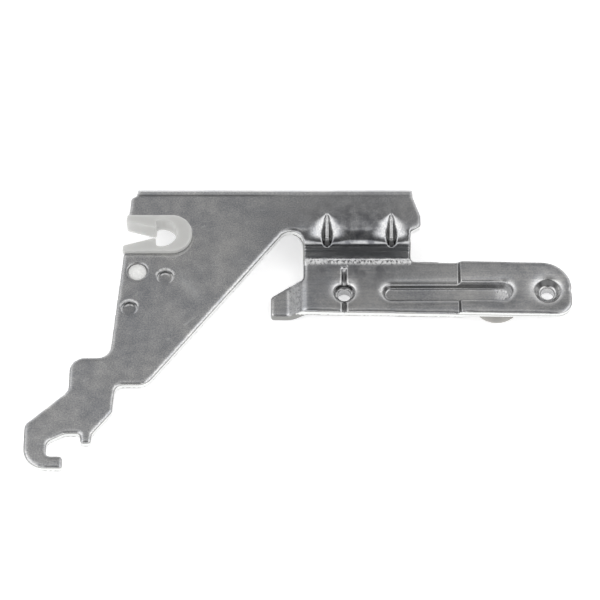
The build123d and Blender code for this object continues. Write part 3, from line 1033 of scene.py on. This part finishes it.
def studio_world(settings):
    """Soft studio: strip light in front, grey overhead, white behind and at both sides."""
    world = bpy.data.worlds.new("studio")
    world.use_nodes = True
    tree = world.node_tree
    coords = add(tree, "ShaderNodeTexCoord").outputs["Generated"]
    axes = add(tree, "ShaderNodeSeparateXYZ", {0: coords}).outputs
    angle = maths(tree, "ARCTAN2", axes["Y"], axes["Z"])
    ramp = add(tree, "ShaderNodeValToRGB", {0: ranged(tree, angle, (-math.pi / 2, math.pi / 2))})
    elements = ramp.color_ramp.elements
    elements.remove(elements[-1])
    for degrees, level in SKY:
        step = elements.new((degrees + HORIZON) / (2 * HORIZON))
        step.color = (level, level, level, 1)
    elements.remove(elements[0])
    side = maths(tree, "ABSOLUTE", axes["X"])
    soft = "SMOOTHSTEP"
    rear = ranged(tree, angle, WALL_REAR, low=1.0, high=WALL_REAR_SHARE, kind=soft)
    front = ranged(tree, angle, WALL_FRONT, low=WALL_FRONT_SHARE, high=rear, kind=soft)
    near = ranged(tree, side, WALL_NEAR, high=front, kind=soft)
    far = ranged(tree, side, WALL_FAR, kind=soft)
    light = ramp.outputs[0]
    for factor, level in ((near, settings.sides), (far, WALL_FAR_LEVEL)):
        light = blend(tree, factor, light, (level, level, level, 1))
    tree.links.new(light, tree.nodes["Background"].inputs["Color"])
    return world


def paper_floor(settings):
    """White paper lit from below, under the part."""
    low = CAD_BOX[0].z
    turns = ((-1, -1), (1, -1), (1, 1), (-1, 1))
    corners = [(x * FLOOR_HALF, y * FLOOR_HALF, low) for x, y in turns]
    mesh = bpy.data.meshes.new("floor")
    mesh.from_pydata(corners, [], [(0, 1, 2, 3)])
    material, tree, shader = new_material("white_paper")
    relief(tree, shader, noises(tree, PAPER_PATTERNS)["fibre"], PAPER_RELIEF)
    shader.inputs["Base Color"].default_value = opaque(settings.floor)
    shader.inputs["Roughness"].default_value = PAPER_ROUGHNESS
    shader.inputs["Emission Color"].default_value = (1, 1, 1, 1)
    shader.inputs["Emission Strength"].default_value = settings.glow
    mesh.materials.append(material)
    floor = bpy.data.objects.new("floor", mesh)
    bpy.context.scene.collection.objects.link(floor)


def aim_camera(settings):
    """Camera above the front, looking down at the plate."""
    camera = bpy.data.cameras.new("camera")
    camera.lens = settings.lens
    rig = bpy.data.objects.new("camera", camera)
    bpy.context.scene.collection.objects.link(rig)
    away = Vector((0, -math.cos(settings.elevation), math.sin(settings.elevation)))
    rig.location = Vector(settings.aim) + away * settings.distance
    rig.rotation_mode = "QUATERNION"
    rig.rotation_quaternion = (-away).to_track_quat("-Z", "Y")
    bpy.context.scene.camera = rig


# Operators and panel


class HINGE_OT_sheet(bpy.types.Operator):
    """Build the pressed sheet"""

    bl_idname = "hinge.sheet"
    bl_label = "Pressed sheet"

    def execute(self, context):
        settings = context.scene.hinge_sheet
        mesh = even_mesh("hinge_plate", "pressed_sheet", settings.mesh, SHEET_ROUNDS)
        sharpen(mesh, "hinge_plate")
        press(mesh, settings)
        place(mesh, zinc_steel(settings), "hinge_plate")
        return {"FINISHED"}


class HINGE_OT_bush(bpy.types.Operator):
    """Build the pivot bush"""

    bl_idname = "hinge.bush"
    bl_label = "Pivot bush"

    def execute(self, context):
        settings = context.scene.hinge_bush
        mesh = even_mesh("pivot_bush", "moulded_bush", settings.mesh, BUSH_ROUNDS)
        stake(mesh)
        place(mesh, white_acetal(settings), "pivot_bush")
        return {"FINISHED"}


class HINGE_OT_stud(bpy.types.Operator):
    """Build the headed stud"""

    bl_idname = "hinge.stud"
    bl_label = "Headed stud"

    def execute(self, context):
        settings = context.scene.hinge_stud
        mesh = even_mesh("locating_stud", "headed_stud", settings.mesh, STUD_ROUNDS)
        place(mesh, turned_steel(settings), "locating_stud")
        return {"FINISHED"}


class HINGE_OT_stage(bpy.types.Operator):
    """Set the floor, the light and the camera"""

    bl_idname = "hinge.stage"
    bl_label = "Stage"

    def execute(self, context):
        settings = context.scene.hinge_stage
        paper_floor(settings)
        context.scene.world = studio_world(settings)
        aim_camera(settings)
        context.scene.view_settings.view_transform = "Standard"
        return {"FINISHED"}


class HINGE_PT_panel(bpy.types.Panel):
    """Settings and operators of the hinge's pieces"""

    bl_label = "Door hinge arm"
    bl_space_type = "VIEW_3D"
    bl_region_type = "UI"
    bl_category = "Hinge"

    def draw(self, context):
        for (name, group), operator in zip(SETTINGS.items(), PIECES):
            box = self.layout.box()
            for item in group.__annotations__:
                box.prop(getattr(context.scene, name), item)
            box.operator(operator.bl_idname)


SETTINGS = {
    "hinge_sheet": SheetSettings,
    "hinge_bush": BushSettings,
    "hinge_stud": StudSettings,
    "hinge_stage": StageSettings,
}
PIECES = (HINGE_OT_sheet, HINGE_OT_bush, HINGE_OT_stud, HINGE_OT_stage)


def register():
    """Make the settings, the operators and the panel known."""
    for name, group in SETTINGS.items():
        bpy.utils.register_class(group)
        setattr(bpy.types.Scene, name, bpy.props.PointerProperty(type=group))
    for operator in PIECES:
        bpy.utils.register_class(operator)
    bpy.utils.register_class(HINGE_PT_panel)


def unregister():
    """Take the panel, the operators and the settings away again."""
    bpy.utils.unregister_class(HINGE_PT_panel)
    for operator in reversed(PIECES):
        bpy.utils.unregister_class(operator)
    for name, group in reversed(SETTINGS.items()):
        delattr(bpy.types.Scene, name)
        bpy.utils.unregister_class(group)


def main():
    """Build all pieces and the stage."""
    register()
    bpy.ops.hinge.sheet()
    bpy.ops.hinge.bush()
    bpy.ops.hinge.stud()
    bpy.ops.hinge.stage()


if __name__ == "__main__":
    main()
